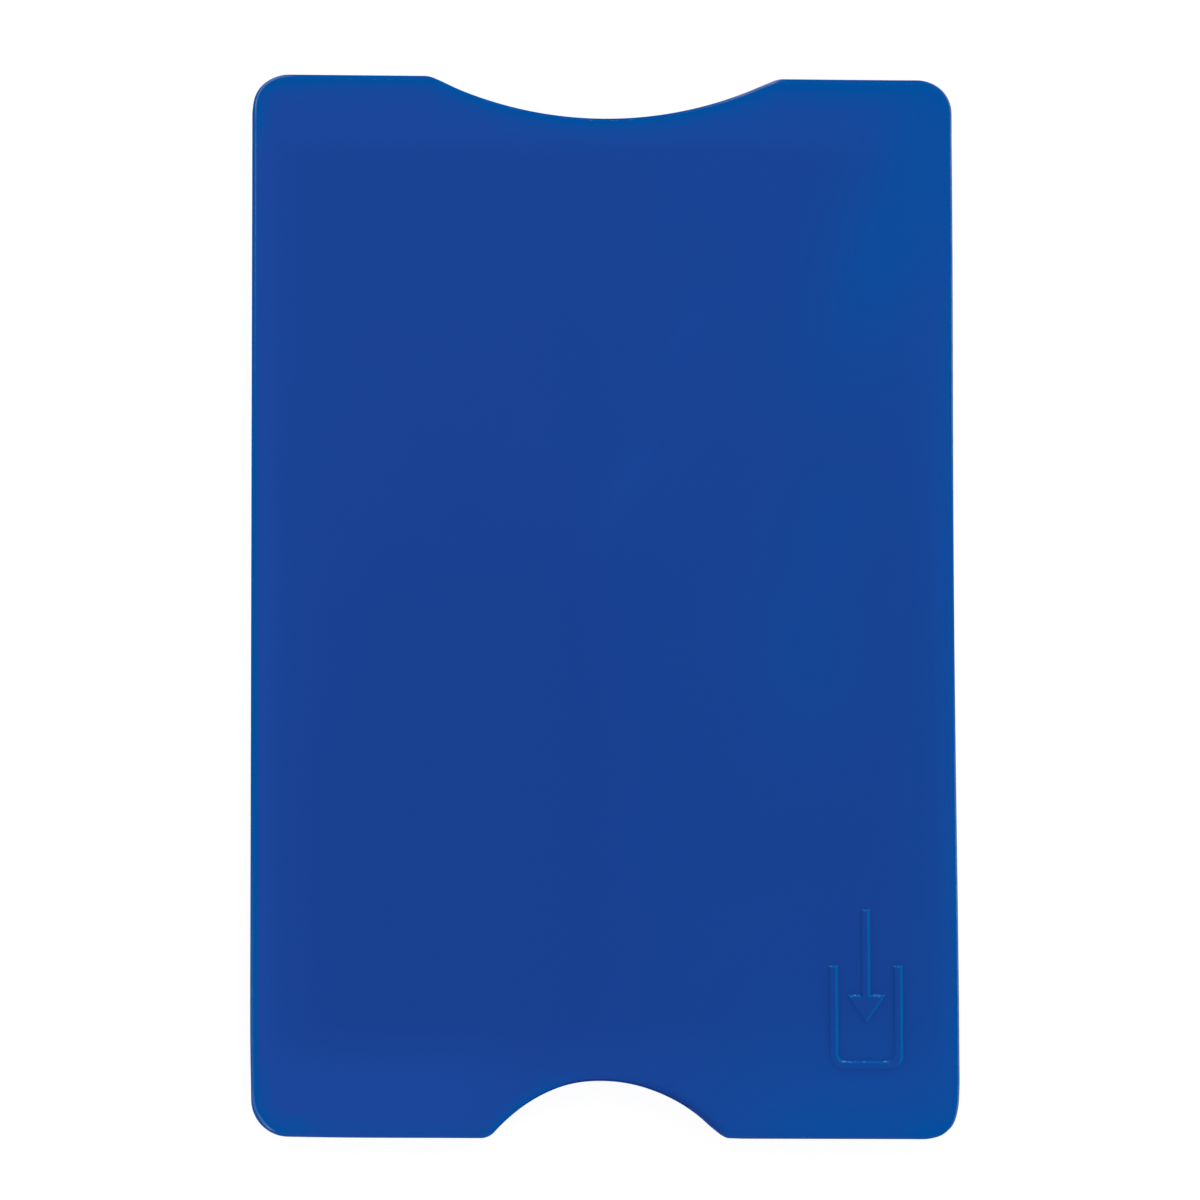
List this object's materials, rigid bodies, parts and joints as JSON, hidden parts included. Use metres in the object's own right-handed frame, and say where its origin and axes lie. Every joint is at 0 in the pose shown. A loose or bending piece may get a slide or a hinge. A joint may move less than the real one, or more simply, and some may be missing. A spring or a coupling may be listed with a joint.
{
  "type": "hard card case",
  "caption": "Rigid flat card case with a full-width mouth, a shallow finger notch there, a thumb notch at the closed end and foil shields inside.",
  "frame": {"origin": "centre of the bounding box's bottom face, where the case lies on its back", "axes": "+Z out of the front face, +Y along the case towards its open mouth, +X to the right as the front is seen with the mouth up"},
  "size_m": [0.06, 0.091, 0.0037],
  "materials": {
    "blue_plastic": "satin",
    "bare_foil": "satin",
    "adhesive_film": "satin"
  },
  "bodies": {
    "root": {"back_tray": "blue_plastic", "front_cover": "blue_plastic", "back_foil_shield": "bare_foil", "front_foil_shield": "bare_foil", "back_adhesive_film": "adhesive_film", "front_adhesive_film": "adhesive_film"}
  },
  "joints": []
}
